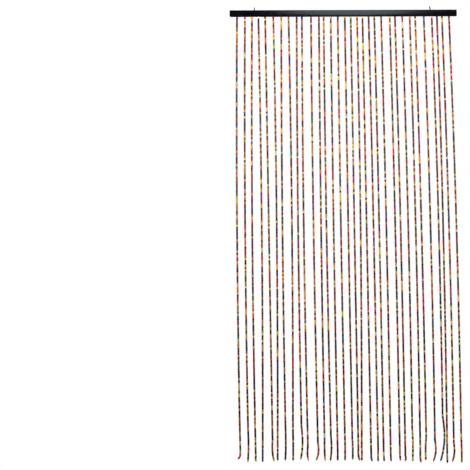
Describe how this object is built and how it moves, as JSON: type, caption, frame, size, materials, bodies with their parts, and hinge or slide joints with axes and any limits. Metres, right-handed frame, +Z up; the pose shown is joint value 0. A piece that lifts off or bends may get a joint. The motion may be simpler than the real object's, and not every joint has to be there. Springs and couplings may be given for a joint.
{
  "type": "bead curtain with bar",
  "caption": "Door curtain of threaded wooden beads in mixed colours, hanging in separate strands from a flat black bar with ring eyes on top.",
  "frame": {"origin": "where the hooks that carry the curtain bear: on the bar's centre line, half way along it, about level with the top of the ring eyes' holes", "axes": "+X along the bar, to the right as seen from the front; +Z up; the front faces -Y and the back +Y"},
  "size_m": [1.0006, 0.015, 1.9827],
  "materials": {
    "bar_lacquer": "black satin lacquer",
    "eye_steel": "dark satin steel wire",
    "strand_beads": "dyed and lacquered beads in mixed colours"
  },
  "bodies": {
    "root": {"bar": "bar_lacquer", "eye_left": "eye_steel", "eye_right": "eye_steel", "strands": "strand_beads"}
  },
  "joints": []
}
